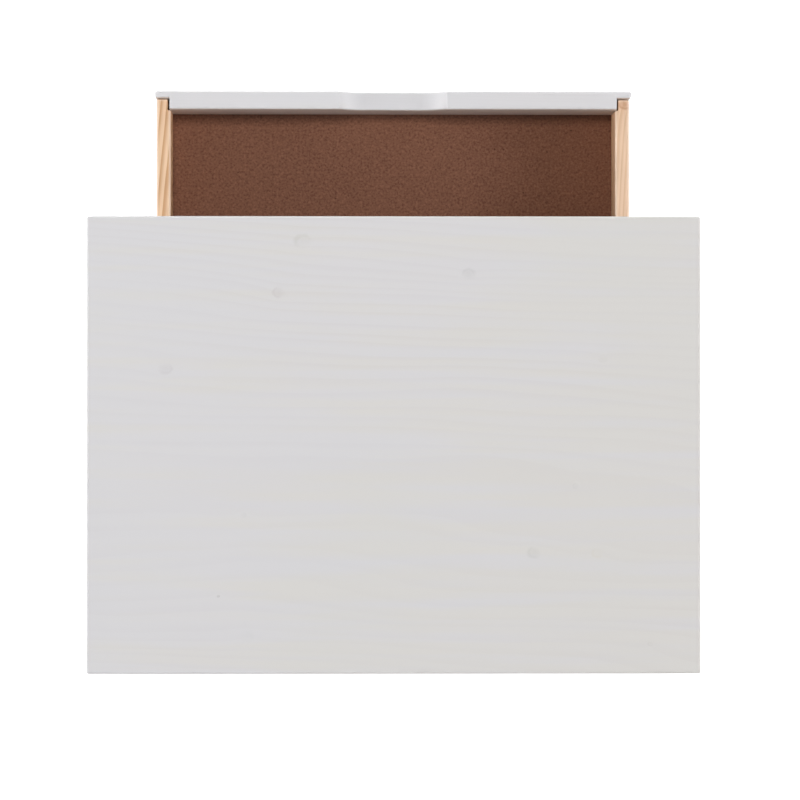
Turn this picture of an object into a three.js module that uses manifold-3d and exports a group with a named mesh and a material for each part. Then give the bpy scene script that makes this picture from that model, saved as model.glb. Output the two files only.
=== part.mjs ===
// Storage bench: a whitewashed pine bench with one shallow drawer under its seat.
//
// Millimetres, +Z up. The drawer front faces -Y, and X runs along the seat. The bench stands on
// z = 0, and the origin is under the middle of the whole object, open drawer included.
// Left and right are as seen by someone who stands in front of the drawer.

import * as THREE from 'three';
import { RoundedBoxGeometry } from 'three/addons/geometries/RoundedBoxGeometry.js';
import { mergeVertices } from 'three/addons/utils/BufferGeometryUtils.js';
import Module from 'manifold-3d';

const wasm = await Module();
wasm.setup();

// ---------------------------------------------------------------- driving dimensions

const GAP = 0.3; // left between pieces that touch
const EDGE = 2; // rounding of a painted board's edges
const SMALL_EDGE = 1.2; // rounding of the small inner strips

const SEAT = { width: 600, depth: 447, thickness: 20, topZ: 450 };
const LEG_SIZE = 45;
const OVERHANG = 18; // seat edge past the legs' outer faces
const GLIDE_HEIGHT = 4;

const RAIL_HEIGHT = 20;
const DRAWER_BAY_HEIGHT = 82; // between the two front rails
const APRON_THICKNESS = 20;
const APRON_INSET = 4; // apron face behind the legs' outer faces
const TENON = { thickness: 10, length: 15, shoulder: 27 };
const TENON_CLEARANCE = 0.25;

const DRAWER = {
  width: 471,
  length: 375,
  restOpening: 144, // how far the drawer stands open
  frontHeight: 79,
  frontThickness: 18,
  lipThickness: 6.8,
  boxWidth: 468,
  sideThickness: 14,
  sideHeight: 69.2,
  backThickness: 14,
  backInset: 6, // back board ahead of the sides' rear ends
};
const FRONT_CLEARANCE = 1.5; // drawer front to the rails
const SCOOP = { halfWidth: 54.5, flatHalfWidth: 28, depth: 14, shoulder: 3 };
const NOTCH = { depth: 3.2, entry: 1 }; // in a drawer side's front end, and the front's reach into it
const FRONT_CORNER = 3; // radius of the drawer front's corners, seen from the front
const BOTTOM = { thickness: 3, raised: 13.2, groove: 6, play: 0.2 };
const BACK_HOUSING = 4; // depth of the drawer sides' housing for the back

const RUNNER = { innerX: 222, thickness: 19.7 };
const GUIDE = { innerX: 236.9, height: 17 };
const KICKER = { innerX: 222, height: 20, clearance: 1 };
const STRIP_END_Y = 160.2; // runner, guide and kicker ends, just inside the legs

const BOLT = { radius: 3, length: 78, headRadius: 8.5, headHeight: 2.4, socketAcross: 4, socketDepth: 1.8 };
const BARREL = { radius: 5, length: 14, fromLeg: 27 };
const DOWEL = { radius: 4, length: 30, chamfer: 1.2 };
const FASTENER_CLEARANCE = 0.3;

const BRACKET = { x: 120, width: 20, thickness: 2, down: 18, along: 30, holeRadius: 2.4 };
const SCREW = { radius: 2, length: 14, headRadius: 4, headHeight: 2.2, tip: 4 };
const SCREW_DOWN = 10.5; // bracket screw below the seat
const SCREW_ALONG = 19; // bracket screw out from the rail or apron

const BUTTON = { length: 56, width: 16, thickness: 8, holeRadius: 2.4 };
const GLIDE = { radius: 13, pinRadius: 2, pinLength: 14, crown: 1.5 };

const ROUND_SIDES = 16; // sides of a small round piece
const HOLE_SIDES = 12; // sides of a drilled hole
const EDGE_STEPS = 2; // facets of a rounded edge, each side of its middle
const SCOOP_STEPS = 14; // facets of each curved end of the scoop
const CORNER_STEPS = 4; // facets of a quarter circle in the drawer front's outline
const WELD = 1e-3; // vertices closer than this are one

// ---------------------------------------------------------------- derived places

const SEAT_BOTTOM = SEAT.topZ - SEAT.thickness;
const LEG_OUTER_X = SEAT.width / 2 - OVERHANG;
const LEG_OUTER_Y = SEAT.depth / 2 - OVERHANG;
const LEG_INNER_X = LEG_OUTER_X - LEG_SIZE;
const LEG_INNER_Y = LEG_OUTER_Y - LEG_SIZE;
const LEG_MID_Y = LEG_OUTER_Y - LEG_SIZE / 2;

const FRAME_TOP = SEAT_BOTTOM - GAP;
const BAY_TOP = SEAT_BOTTOM - RAIL_HEIGHT;
const BAY_BOTTOM = BAY_TOP - DRAWER_BAY_HEIGHT;
const FRAME_BOTTOM = BAY_BOTTOM - RAIL_HEIGHT;

const SIDE_APRON_OUTER_X = LEG_OUTER_X - APRON_INSET;
const SIDE_APRON_INNER_X = SIDE_APRON_OUTER_X - APRON_THICKNESS;
const BACK_APRON_OUTER_Y = LEG_OUTER_Y - APRON_INSET;
const BACK_APRON_INNER_Y = BACK_APRON_OUTER_Y - APRON_THICKNESS;
const STRIP_OUTER_X = SIDE_APRON_INNER_X - GAP;

const BENCH_Y = (DRAWER.restOpening - OVERHANG) / 2;

// The drawer's own frame has y = 0 on the front face and y growing towards the back.
const FRONT_BOTTOM = BAY_BOTTOM + FRONT_CLEARANCE;
const FRONT_TOP = FRONT_BOTTOM + DRAWER.frontHeight;
const SIDE_BOTTOM = BAY_BOTTOM + GAP;
const SIDE_TOP = SIDE_BOTTOM + DRAWER.sideHeight;
const SIDE_INNER_X = DRAWER.boxWidth / 2 - DRAWER.sideThickness;
const TONGUE_X = SIDE_INNER_X + NOTCH.entry;
const SIDE_FRONT_Y = DRAWER.lipThickness + GAP;
const BACK_REAR_Y = DRAWER.length - DRAWER.backInset;
const BACK_FRONT_Y = BACK_REAR_Y - DRAWER.backThickness;
const PANEL_BOTTOM = SIDE_BOTTOM + BOTTOM.raised;
const PANEL_TOP = PANEL_BOTTOM + BOTTOM.thickness;
const BUTTON_REAR_Y = BACK_FRONT_Y - GAP;
const BUTTON_FRONT_Y = BUTTON_REAR_Y - BUTTON.thickness;
const BUTTON_Z = SIDE_TOP - BUTTON.width / 2;

// ---------------------------------------------------------------- materials

const finish = (color, roughness, metalness = 0) => () =>
  new THREE.MeshStandardMaterial({ color, roughness, metalness });

const whitewashedPine = finish('#d7d6d3', 0.5);
const rawPine = finish('#dfbb99', 0.6);
const hardboard = finish('#6f4b3b', 0.7);
const zincPlatedSteel = finish('#b4b6b8', 0.35, 1);
const beechDowel = finish('#d2b184', 0.6);
const nylon = finish('#e4e2da', 0.45);

// ---------------------------------------------------------------- solids

// A closed three.js geometry as a solid that can be cut and joined.
function solid(geometry) {
  const bare = geometry.clone();
  bare.deleteAttribute('normal');
  bare.deleteAttribute('uv');
  const merged = mergeVertices(bare, WELD);
  return new wasm.Manifold(new wasm.Mesh({
    numProp: 3,
    vertProperties: new Float32Array(merged.attributes.position.array),
    triVerts: new Uint32Array(merged.index.array),
  }));
}

function geometryOf(body) {
  const { vertProperties, triVerts } = body.getMesh();
  const geometry = new THREE.BufferGeometry();
  geometry.setAttribute('position', new THREE.BufferAttribute(vertProperties, 3));
  geometry.setIndex(new THREE.BufferAttribute(triVerts, 1));
  geometry.computeVertexNormals();
  return geometry;
}

// A board between two corners, with its edges rounded.
function board(low, high, edge = EDGE, edgeSteps = EDGE_STEPS) {
  const size = high.map((value, i) => value - low[i]);
  const middle = high.map((value, i) => (value + low[i]) / 2);
  const geometry = new RoundedBoxGeometry(...size, edgeSteps, edge);
  return solid(geometry.translate(...middle));
}

// A sharp-edged block between two corners, for tenons, grooves and other cuts.
function block(low, high) {
  const size = high.map((value, i) => value - low[i]);
  const middle = high.map((value, i) => (value + low[i]) / 2);
  return solid(new THREE.BoxGeometry(...size).translate(...middle));
}

// Turns a geometry made along +Y so that it runs along a direction from a start point.
function aim(geometry, start, direction) {
  const turn = new THREE.Quaternion().setFromUnitVectors(
    new THREE.Vector3(0, 1, 0),
    new THREE.Vector3(...direction).normalize(),
  );
  return geometry.applyQuaternion(turn).translate(...start);
}

// A drilled hole of one radius, from a start point along a direction.
function hole(start, direction, radius, length, sides = HOLE_SIDES) {
  const geometry = new THREE.CylinderGeometry(radius, radius, length, sides);
  return solid(aim(geometry.translate(0, length / 2, 0), start, direction));
}

// A turned piece from points (radius, height) that start and end on the axis.
function turned(points, sides = ROUND_SIDES) {
  const outline = points.map(([radius, height]) => new THREE.Vector2(radius, height));
  return solid(new THREE.LatheGeometry(outline, sides));
}

function mesh(name, geometry, material) {
  const made = new THREE.Mesh(geometry, material());
  made.name = name;
  return made;
}

const boardMesh = (name, body, material) => mesh(name, geometryOf(body), material);

// A copy of a piece made along +Y, placed at a point and turned along a direction.
function placed(name, geometry, material, start, direction) {
  const made = mesh(name, geometry, material);
  made.position.set(...start);
  made.quaternion.setFromUnitVectors(
    new THREE.Vector3(0, 1, 0),
    new THREE.Vector3(...direction).normalize(),
  );
  return made;
}

// ---------------------------------------------------------------- corners and fastener places

const SIDES = [
  { side: 'left', sx: -1 },
  { side: 'right', sx: 1 },
];
const ENDS = [
  { end: 'front', sy: -1 },
  { end: 'back', sy: 1 },
];
const CORNERS = ENDS.flatMap(({ end, sy }) => SIDES.map(({ side, sx }) => (
  { name: `${end}_${side}`, end, sx, sy }
)));

const RAIL_BOLT_Y = -LEG_MID_Y - 9;
const RAIL_DOWEL_Y = -LEG_MID_Y + 10;
const UPPER_RAIL_Z = SEAT_BOTTOM - RAIL_HEIGHT / 2;
const LOWER_RAIL_Z = BAY_BOTTOM - RAIL_HEIGHT / 2;
const BACK_BOLT_Y = (BACK_APRON_OUTER_Y + BACK_APRON_INNER_Y) / 2;

// Every connector bolt, with the way its barrel nut's hole opens.
const BOLTS = SIDES.flatMap(({ side, sx }) => [
  { name: `upper_rail_${side}`, end: 'front', sx, y: RAIL_BOLT_Y, z: UPPER_RAIL_Z, mouth: [0, 0, 1] },
  { name: `lower_rail_${side}`, end: 'front', sx, y: RAIL_BOLT_Y, z: LOWER_RAIL_Z, mouth: [0, 0, -1] },
  { name: `back_apron_upper_${side}`, end: 'back', sx, y: BACK_BOLT_Y, z: FRAME_TOP - 14, mouth: [0, -1, 0] },
  { name: `back_apron_lower_${side}`, end: 'back', sx, y: BACK_BOLT_Y, z: FRAME_BOTTOM + 14, mouth: [0, -1, 0] },
]);

const DOWELS = SIDES.flatMap(({ side, sx }) => [
  { name: `upper_rail_${side}`, sx, z: UPPER_RAIL_Z },
  { name: `lower_rail_${side}`, sx, z: LOWER_RAIL_Z },
]);

// The two front brackets stand on the upper rail's back, the two rear ones on the back apron.
const BRACKETS = CORNERS.map(({ name, end, sx }) => ({
  name,
  x: sx * BRACKET.x,
  faceY: end === 'front' ? -LEG_INNER_Y : BACK_APRON_INNER_Y,
  out: end === 'front' ? 1 : -1,
}));

const boltHole = ({ sx, y, z }) => hole(
  [sx * (LEG_OUTER_X + 1), y, z],
  [-sx, 0, 0],
  BOLT.radius + FASTENER_CLEARANCE,
  BOLT.length + 4,
);

function barrelHole({ sx, y, z, mouth }) {
  const depth = BARREL.length / 2 + 1;
  const reach = APRON_THICKNESS;
  const start = [sx * (LEG_INNER_X - BARREL.fromLeg), y - mouth[1] * depth, z - mouth[2] * depth];
  return hole(start, mouth, BARREL.radius + FASTENER_CLEARANCE, reach + depth);
}

const dowelHole = ({ sx, z }) => hole(
  [sx * (LEG_INNER_X - DOWEL.length / 2 - 1), RAIL_DOWEL_Y, z],
  [sx, 0, 0],
  DOWEL.radius + FASTENER_CLEARANCE,
  DOWEL.length + 2,
);

const sideScrewHole = ({ x, faceY, out }) => hole(
  [x, faceY + out, SEAT_BOTTOM - SCREW_DOWN],
  [0, -out, 0],
  SCREW.radius + FASTENER_CLEARANCE,
  SCREW.length + 2,
);

const seatScrewHole = ({ x, faceY, out }) => hole(
  [x, faceY + out * SCREW_ALONG, SEAT_BOTTOM - 1],
  [0, 0, 1],
  SCREW.radius + FASTENER_CLEARANCE,
  SCREW.length + 2,
);

const cutAll = (body, cuts) => cuts.reduce((rest, cut) => rest.subtract(cut), body);

// ---------------------------------------------------------------- bench frame

function seatTop() {
  const panel = board(
    [-SEAT.width / 2, -SEAT.depth / 2, SEAT_BOTTOM],
    [SEAT.width / 2, SEAT.depth / 2, SEAT.topZ],
    EDGE,
    EDGE_STEPS + 1,
  );
  return boardMesh('seat_top', cutAll(panel, BRACKETS.map(seatScrewHole)), whitewashedPine);
}

// The tenon on a side apron's end, or, grown by a clearance, the mortise for it in the leg.
function tenonBlock(sx, sy, grow) {
  const middleX = sx * (SIDE_APRON_INNER_X + SIDE_APRON_OUTER_X) / 2;
  const half = TENON.thickness / 2 + grow;
  const root = sy * (LEG_INNER_Y - 2);
  const tip = sy * (LEG_INNER_Y + TENON.length + grow * 4);
  return block(
    [middleX - half, Math.min(root, tip), FRAME_BOTTOM + TENON.shoulder - grow],
    [middleX + half, Math.max(root, tip), FRAME_TOP - TENON.shoulder + grow],
  );
}

function leg({ name, end, sx, sy }) {
  const xs = [sx * LEG_INNER_X, sx * LEG_OUTER_X].sort((a, b) => a - b);
  const ys = [sy * LEG_INNER_Y, sy * LEG_OUTER_Y].sort((a, b) => a - b);
  const post = board([xs[0], ys[0], GLIDE_HEIGHT + GAP], [xs[1], ys[1], FRAME_TOP]);
  const cuts = [
    tenonBlock(sx, sy, TENON_CLEARANCE),
    hole(
      [sx * (LEG_OUTER_X - LEG_SIZE / 2), sy * LEG_MID_Y, 0],
      [0, 0, 1],
      GLIDE.pinRadius + FASTENER_CLEARANCE,
      GLIDE_HEIGHT + GLIDE.pinLength + 1,
    ),
    ...BOLTS.filter((bolt) => bolt.end === end && bolt.sx === sx).map(boltHole),
    ...DOWELS.filter((dowel) => end === 'front' && dowel.sx === sx).map(dowelHole),
  ];
  return boardMesh(`leg_${name}`, cutAll(post, cuts), whitewashedPine);
}

function frontRail(level, bottomZ, topZ) {
  const rail = board(
    [-LEG_INNER_X + GAP, -LEG_OUTER_Y, bottomZ],
    [LEG_INNER_X - GAP, -LEG_INNER_Y, topZ],
  );
  const atThisLevel = ({ z }) => z > bottomZ && z < topZ;
  const bolts = BOLTS.filter((bolt) => bolt.end === 'front').filter(atThisLevel);
  const cuts = [
    ...bolts.map(boltHole),
    ...bolts.map(barrelHole),
    ...DOWELS.filter(atThisLevel).map(dowelHole),
    ...BRACKETS.filter(({ out }) => out > 0 && level === 'upper').map(sideScrewHole),
  ];
  return boardMesh(`front_rail_${level}`, cutAll(rail, cuts), whitewashedPine);
}

function sideApron({ side, sx }) {
  const xs = [sx * SIDE_APRON_INNER_X, sx * SIDE_APRON_OUTER_X].sort((a, b) => a - b);
  const end = LEG_INNER_Y - GAP;
  const plain = board([xs[0], -end, FRAME_BOTTOM], [xs[1], end, FRAME_TOP]);
  const tenoned = plain.add(tenonBlock(sx, -1, 0)).add(tenonBlock(sx, 1, 0));
  return boardMesh(`apron_${side}`, tenoned, whitewashedPine);
}

function backApron() {
  const plain = board(
    [-LEG_INNER_X + GAP, BACK_APRON_INNER_Y, FRAME_BOTTOM],
    [LEG_INNER_X - GAP, BACK_APRON_OUTER_Y, FRAME_TOP],
  );
  const bolts = BOLTS.filter((bolt) => bolt.end === 'back');
  const cuts = [
    ...bolts.map(boltHole),
    ...bolts.map(barrelHole),
    ...BRACKETS.filter(({ out }) => out < 0).map(sideScrewHole),
  ];
  return boardMesh('apron_back', cutAll(plain, cuts), whitewashedPine);
}

// A strip along the inside of a side apron, between the front rail and the back leg.
function strip(name, { side, sx }, innerX, bottomZ, topZ) {
  const xs = [sx * innerX, sx * STRIP_OUTER_X].sort((a, b) => a - b);
  const body = board([xs[0], -STRIP_END_Y, bottomZ], [xs[1], STRIP_END_Y, topZ], SMALL_EDGE, 1);
  return boardMesh(`${name}_${side}`, body, rawPine);
}

function drawerStrips(where) {
  const runnerTop = BAY_BOTTOM - GAP;
  const kickerBottom = SIDE_TOP + KICKER.clearance;
  return [
    strip('drawer_runner', where, RUNNER.innerX, runnerTop - RUNNER.thickness, runnerTop),
    strip('side_guide', where, GUIDE.innerX, BAY_BOTTOM, BAY_BOTTOM + GUIDE.height),
    strip('drawer_kicker', where, KICKER.innerX, kickerBottom, kickerBottom + KICKER.height),
  ];
}

// ---------------------------------------------------------------- fasteners and feet

function boltGeometry() {
  const { radius, length, headRadius, headHeight, socketAcross, socketDepth } = BOLT;
  const body = turned([
    [0, -headHeight],
    [headRadius - 0.8, -headHeight],
    [headRadius, -headHeight + 0.7],
    [headRadius, 0],
    [radius, 0],
    [radius, length - 1],
    [radius - 1, length],
    [0, length],
  ]);
  const socket = new THREE.CylinderGeometry(
    socketAcross / Math.sqrt(3),
    socketAcross / Math.sqrt(3),
    socketDepth * 2,
    6,
  );
  return geometryOf(body.subtract(solid(socket.translate(0, -headHeight, 0))));
}

function barrelNutGeometry() {
  const body = turned([
    [0, -BARREL.length / 2],
    [BARREL.radius, -BARREL.length / 2],
    [BARREL.radius, BARREL.length / 2],
    [0, BARREL.length / 2],
  ]);
  const across = BARREL.radius + 1;
  const bore = hole([across, 0, 0], [-1, 0, 0], BOLT.radius + FASTENER_CLEARANCE, across * 2);
  const slotDepth = 1.2;
  const slotHalfWidth = 0.6;
  const slot = block(
    [-across, BARREL.length / 2 - slotDepth, -slotHalfWidth],
    [across, BARREL.length, slotHalfWidth],
  );
  return geometryOf(body.subtract(bore).subtract(slot));
}

function dowelGeometry() {
  const { radius, length, chamfer } = DOWEL;
  return geometryOf(turned([
    [0, 0],
    [radius - chamfer, 0],
    [radius, chamfer],
    [radius, length - chamfer],
    [radius - chamfer, length],
    [0, length],
  ]));
}

function screwGeometry() {
  const { radius, length, headRadius, headHeight, tip } = SCREW;
  const body = turned([
    [0, -headHeight],
    [headRadius * 0.6, -headHeight * 0.9],
    [headRadius, -headHeight * 0.3],
    [headRadius, 0],
    [radius, 0],
    [radius, length - tip],
    [0, length],
  ], HOLE_SIDES);
  const slotHalfLength = 2;
  const slotHalfWidth = 0.45;
  const slotDepth = 1.3;
  const top = -headHeight - 1;
  const floor = -headHeight + slotDepth;
  const cross = block([-slotHalfLength, top, -slotHalfWidth], [slotHalfLength, floor, slotHalfWidth])
    .add(block([-slotHalfWidth, top, -slotHalfLength], [slotHalfWidth, floor, slotHalfLength]));
  return geometryOf(body.subtract(cross));
}

function glideGeometry() {
  const { radius, pinRadius, pinLength, crown } = GLIDE;
  return geometryOf(turned([
    [0, 0],
    [radius - crown, 0],
    [radius, crown],
    [radius, GLIDE_HEIGHT],
    [pinRadius, GLIDE_HEIGHT],
    [pinRadius, GLIDE_HEIGHT + pinLength - pinRadius],
    [0, GLIDE_HEIGHT + pinLength],
  ]));
}

// An angle bracket: one flange hangs down against the wood, the other lies under the seat.
function bracket(where) {
  const { x, faceY, out } = where;
  const { width, thickness, down, along, holeRadius } = BRACKET;
  const y0 = faceY + out * GAP;
  const span = (from, to) => [y0 + out * from, y0 + out * to].sort((a, b) => a - b);
  const upright = span(0, thickness);
  const flange = span(0, along);
  const body = block([x - width / 2, upright[0], FRAME_TOP - down], [x + width / 2, upright[1], FRAME_TOP])
    .add(block([x - width / 2, flange[0], FRAME_TOP - thickness], [x + width / 2, flange[1], FRAME_TOP]))
    .subtract(hole([x, faceY - out, SEAT_BOTTOM - SCREW_DOWN], [0, out, 0], holeRadius, 6))
    .subtract(hole([x, faceY + out * SCREW_ALONG, FRAME_TOP + 1], [0, 0, -1], holeRadius, 6));
  return boardMesh(`top_bracket_${where.name}`, body, zincPlatedSteel);
}

// The two screws of a bracket: one into the rail or apron, one up into the seat.
function bracketScrews(where, geometry) {
  const { name, x, faceY, out } = where;
  const seating = GAP * 2 + BRACKET.thickness;
  return [
    placed(
      `bracket_screw_side_${name}`,
      geometry,
      zincPlatedSteel,
      [x, faceY + out * seating, SEAT_BOTTOM - SCREW_DOWN],
      [0, -out, 0],
    ),
    placed(
      `bracket_screw_seat_${name}`,
      geometry,
      zincPlatedSteel,
      [x, faceY + out * SCREW_ALONG, SEAT_BOTTOM - seating],
      [0, 0, 1],
    ),
  ];
}

function connectors() {
  const bolt = boltGeometry();
  const nut = barrelNutGeometry();
  return BOLTS.flatMap(({ name, sx, y, z, mouth }) => [
    placed(`bolt_${name}`, bolt, zincPlatedSteel, [sx * (LEG_OUTER_X + GAP), y, z], [-sx, 0, 0]),
    placed(
      `barrel_nut_${name}`,
      nut,
      zincPlatedSteel,
      [sx * (LEG_INNER_X - BARREL.fromLeg), y, z],
      mouth,
    ),
  ]);
}

function dowels() {
  const geometry = dowelGeometry();
  return DOWELS.map(({ name, sx, z }) => placed(
    `dowel_${name}`,
    geometry,
    beechDowel,
    [sx * (LEG_INNER_X - DOWEL.length / 2), RAIL_DOWEL_Y, z],
    [sx, 0, 0],
  ));
}

function footGlides() {
  const geometry = glideGeometry();
  return CORNERS.map(({ name, sx, sy }) => placed(
    `foot_glide_${name}`,
    geometry,
    nylon,
    [sx * (LEG_OUTER_X - LEG_SIZE / 2), sy * LEG_MID_Y, 0],
    [0, 0, 1],
  ));
}

// ---------------------------------------------------------------- drawer

// The groove that holds the hardboard, as a block over a stretch of x and y.
function panelGroove(x0, x1, y0, y1) {
  return block([x0, y0, PANEL_BOTTOM - BOTTOM.play], [x1, y1, PANEL_TOP + BOTTOM.play]);
}

// Points along a stretch of a circle, from one angle to another, in quarter turns.
function arc(x, z, radius, from, to, steps) {
  return Array.from({ length: steps + 1 }, (_, i) => {
    const angle = (from + (to - from) * i / steps) * Math.PI / 2;
    return new THREE.Vector2(x + radius * Math.cos(angle), z + radius * Math.sin(angle));
  });
}

// The front seen from the front: a rectangle with small round corners and the finger scoop,
// which has a flat floor and ends that curve up to two round shoulders.
function frontOutline() {
  const { halfWidth, flatHalfWidth, depth, shoulder } = SCOOP;
  const right = DRAWER.width / 2 - FRONT_CORNER;
  const bottom = FRONT_BOTTOM + FRONT_CORNER;
  const top = FRONT_TOP - FRONT_CORNER;
  const shoulderZ = FRONT_TOP - shoulder;
  const run = halfWidth - flatHalfWidth;
  const slope = 2 * Math.atan(depth / run); // where a curved end meets its shoulder
  const radius = run / Math.sin(slope) - shoulder;
  const floorArcZ = FRONT_TOP - depth + radius;
  const turn = slope / (Math.PI / 2);
  const corner = (x, z, from) => arc(x, z, FRONT_CORNER, from, from + 1, CORNER_STEPS);
  return new THREE.Shape([
    ...corner(-right, bottom, 2),
    ...corner(right, bottom, 3),
    ...corner(right, top, 0),
    ...arc(halfWidth, shoulderZ, shoulder, 1, 1 + turn, CORNER_STEPS),
    ...arc(flatHalfWidth, floorArcZ, radius, turn - 1, -1, SCOOP_STEPS).slice(1),
    ...arc(-flatHalfWidth, floorArcZ, radius, -1, -1 - turn, SCOOP_STEPS).slice(0, -1),
    ...arc(-halfWidth, shoulderZ, shoulder, 1 - turn, 1, CORNER_STEPS),
    ...corner(-right, top, 1),
  ]);
}

// Thick between the drawer sides, with a thin lip past them at each end.
function drawerFront() {
  const { width, frontThickness, lipThickness } = DRAWER;
  const slab = new THREE.ExtrudeGeometry(frontOutline(), {
    depth: frontThickness - EDGE * 2,
    bevelThickness: EDGE,
    bevelSize: EDGE,
    bevelOffset: -EDGE,
    bevelSegments: EDGE_STEPS + 1,
  });
  // Extruded along +Z, then stood up so that it runs from y = 0 to y = frontThickness.
  const upright = slab.rotateX(Math.PI / 2).translate(0, frontThickness - EDGE, 0);
  const hair = 0.01; // keeps the lips' rounded end off the slab's own faces
  const lips = board(
    [-width / 2 - hair, -frontThickness, FRONT_BOTTOM - hair],
    [width / 2 + hair, lipThickness, FRONT_TOP + hair],
    EDGE,
    EDGE_STEPS + 1,
  );
  const tongue = block(
    [-TONGUE_X, -frontThickness, FRONT_BOTTOM - 1],
    [TONGUE_X, frontThickness * 2, FRONT_TOP + 1],
  );
  const groove = panelGroove(-width, width, frontThickness - BOTTOM.groove, frontThickness + 1);
  const body = solid(upright).intersect(lips.add(tongue)).subtract(groove);
  return boardMesh('drawer_front', body, whitewashedPine);
}

// Grooved for the bottom, housed for the back, and notched at its front end for the front.
function drawerSide({ side, sx }) {
  const outer = DRAWER.boxWidth / 2;
  const sorted = (a, b) => [sx * a, sx * b].sort((p, q) => p - q);
  const xs = sorted(SIDE_INNER_X, outer);
  const plain = board([xs[0], SIDE_FRONT_Y, SIDE_BOTTOM], [xs[1], DRAWER.length, SIDE_TOP]);
  const grooveX = sorted(SIDE_INNER_X - 1, SIDE_INNER_X + BOTTOM.groove);
  const housingX = sorted(SIDE_INNER_X - 1, SIDE_INNER_X + BACK_HOUSING);
  const notchX = sorted(SIDE_INNER_X - 1, SIDE_INNER_X + NOTCH.depth);
  const cuts = [
    panelGroove(grooveX[0], grooveX[1], 0, DRAWER.length + 1),
    block(
      [housingX[0], BACK_FRONT_Y - GAP, PANEL_TOP],
      [housingX[1], BACK_REAR_Y + GAP, SIDE_TOP + 1],
    ),
    block(
      [notchX[0], 0, SIDE_BOTTOM - 1],
      [notchX[1], DRAWER.frontThickness + GAP, SIDE_TOP + 1],
    ),
  ];
  return boardMesh(`drawer_side_${side}`, cutAll(plain, cuts), rawPine);
}

function drawerBack() {
  const halfWidth = SIDE_INNER_X + BACK_HOUSING - GAP;
  const plain = board(
    [-halfWidth, BACK_FRONT_Y, PANEL_TOP + GAP],
    [halfWidth, BACK_REAR_Y, SIDE_TOP],
    SMALL_EDGE,
  );
  const pilot = hole(
    [0, BACK_FRONT_Y - 1, BUTTON_Z],
    [0, 1, 0],
    SCREW.radius + FASTENER_CLEARANCE,
    SCREW.length - BUTTON.thickness + 4,
  );
  return boardMesh('drawer_back', plain.subtract(pilot), rawPine);
}

function drawerBottom() {
  const halfWidth = SIDE_INNER_X + BOTTOM.groove - GAP;
  const frontY = DRAWER.frontThickness - BOTTOM.groove + GAP;
  const panel = block([-halfWidth, frontY, PANEL_BOTTOM], [halfWidth, BACK_REAR_Y, PANEL_TOP]);
  return boardMesh('drawer_bottom', panel, hardboard);
}

// The turn button is upright while it stops the drawer, and its frame is its pivot.
function stopButton() {
  const { length, width, thickness, holeRadius } = BUTTON;
  const radius = width / 2;
  const reach = length / 2 - radius;
  const outline = new THREE.Shape()
    .moveTo(radius, -reach)
    .lineTo(radius, reach)
    .absarc(0, reach, radius, 0, Math.PI, false)
    .lineTo(-radius, -reach)
    .absarc(0, -reach, radius, Math.PI, Math.PI * 2, false);
  const edge = 1;
  const slab = new THREE.ExtrudeGeometry(outline, {
    depth: thickness - edge * 2,
    bevelThickness: edge,
    bevelSize: edge,
    bevelOffset: -edge,
    bevelSegments: 1,
    curveSegments: 8,
  });
  // Extruded along +Z, then stood up so that its depth runs from y = 0 to y = thickness.
  const upright = slab.translate(0, 0, edge).rotateX(Math.PI / 2).translate(0, thickness, 0);
  const body = solid(upright).subtract(hole([0, -1, 0], [0, 1, 0], holeRadius, thickness + 2));
  const made = boardMesh('stop_button', body, rawPine);
  made.position.set(0, BUTTON_FRONT_Y, BUTTON_Z);
  return made;
}

function stopScrew() {
  return placed(
    'stop_screw',
    screwGeometry(),
    zincPlatedSteel,
    [0, BUTTON_FRONT_Y - GAP, BUTTON_Z],
    [0, 1, 0],
  );
}

// ---------------------------------------------------------------- assembly

function drawer() {
  const group = new THREE.Group();
  group.position.y = -LEG_OUTER_Y - DRAWER.restOpening;
  group.add(
    drawerFront(),
    ...SIDES.map(drawerSide),
    drawerBack(),
    drawerBottom(),
    stopButton(),
    stopScrew(),
  );
  return group;
}

function bench() {
  const group = new THREE.Group();
  const screw = screwGeometry();
  group.position.y = BENCH_Y;
  group.add(
    seatTop(),
    ...CORNERS.map(leg),
    frontRail('upper', BAY_TOP, FRAME_TOP),
    frontRail('lower', FRAME_BOTTOM, BAY_BOTTOM),
    ...SIDES.map(sideApron),
    backApron(),
    ...SIDES.flatMap(drawerStrips),
    ...connectors(),
    ...dowels(),
    ...BRACKETS.map(bracket),
    ...BRACKETS.flatMap((where) => bracketScrews(where, screw)),
    ...footGlides(),
    drawer(),
  );
  return group;
}

const object = new THREE.Group();
object.add(bench());

export default object;
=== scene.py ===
import math

import bmesh
import bpy
from mathutils import Matrix, Vector


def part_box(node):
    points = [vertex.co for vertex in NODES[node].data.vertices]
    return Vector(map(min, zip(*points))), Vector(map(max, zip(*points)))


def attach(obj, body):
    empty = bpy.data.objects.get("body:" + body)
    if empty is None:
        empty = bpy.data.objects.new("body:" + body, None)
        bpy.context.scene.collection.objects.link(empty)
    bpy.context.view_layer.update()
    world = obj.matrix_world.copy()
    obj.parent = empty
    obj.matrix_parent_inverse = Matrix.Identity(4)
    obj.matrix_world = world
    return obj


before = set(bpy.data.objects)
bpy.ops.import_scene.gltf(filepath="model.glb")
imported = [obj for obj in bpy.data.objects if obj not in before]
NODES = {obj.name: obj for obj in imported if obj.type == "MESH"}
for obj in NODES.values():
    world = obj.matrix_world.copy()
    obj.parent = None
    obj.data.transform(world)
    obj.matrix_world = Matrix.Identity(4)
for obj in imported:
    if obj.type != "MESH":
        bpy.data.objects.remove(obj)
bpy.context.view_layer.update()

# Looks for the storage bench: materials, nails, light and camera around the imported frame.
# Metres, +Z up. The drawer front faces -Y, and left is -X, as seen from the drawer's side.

MM = 0.001

# ---------------------------------------------------------------- driving values

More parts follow.
